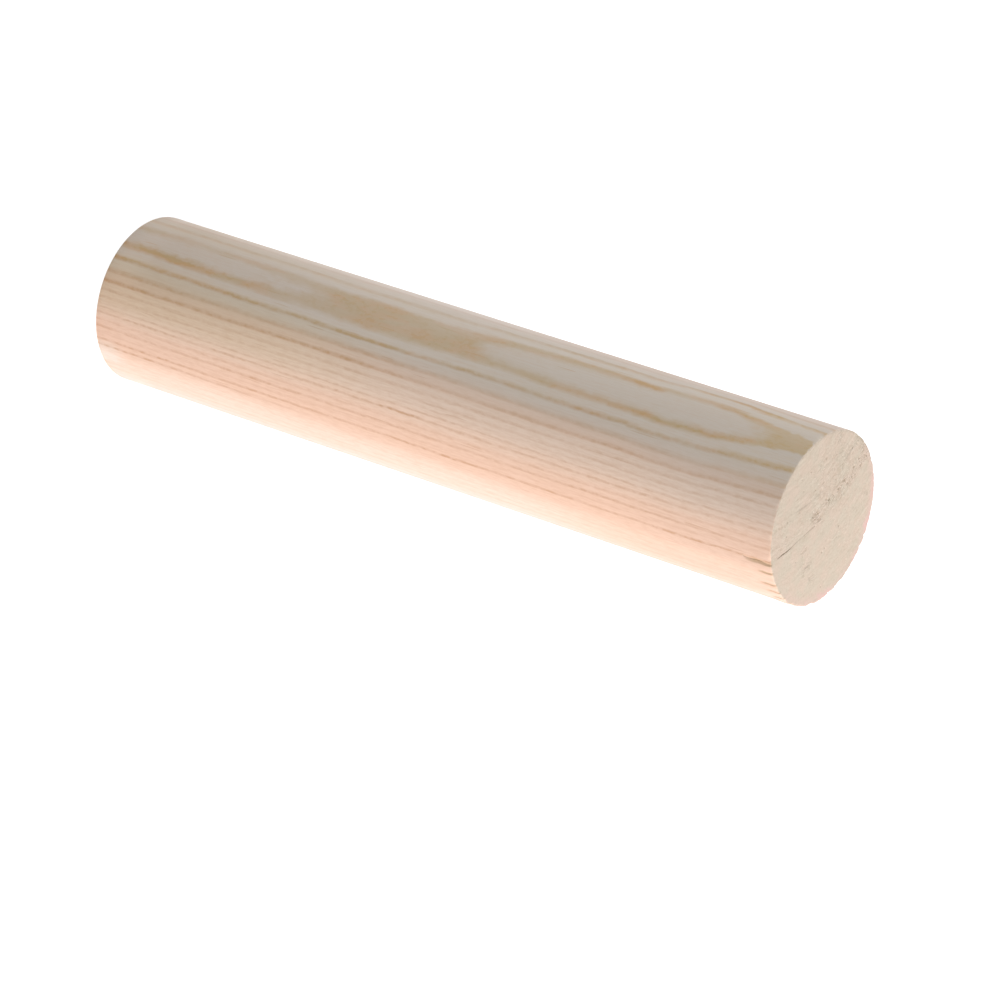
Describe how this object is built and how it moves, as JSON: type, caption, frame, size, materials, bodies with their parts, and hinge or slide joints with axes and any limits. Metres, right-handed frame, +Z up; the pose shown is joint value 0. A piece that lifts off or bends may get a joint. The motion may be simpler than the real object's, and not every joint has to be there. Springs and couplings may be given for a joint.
{
  "type": "wooden dowel rod",
  "caption": "Short round softwood dowel rod, sawn square at both ends, with a drying check in its top end and small tear-outs at the rim.",
  "frame": {"origin": "centre of the bottom end, on the surface that the rod stands on", "axes": "+Z up along the rod's axis, towards the end with the drying check; the check's outer tip and the tear-outs lie between -Y and +X"},
  "size_m": [0.04, 0.04, 0.192],
  "materials": {
    "wood": "raw, finely sanded"
  },
  "bodies": {
    "root": {"dowel_rod": "wood"}
  },
  "joints": []
}
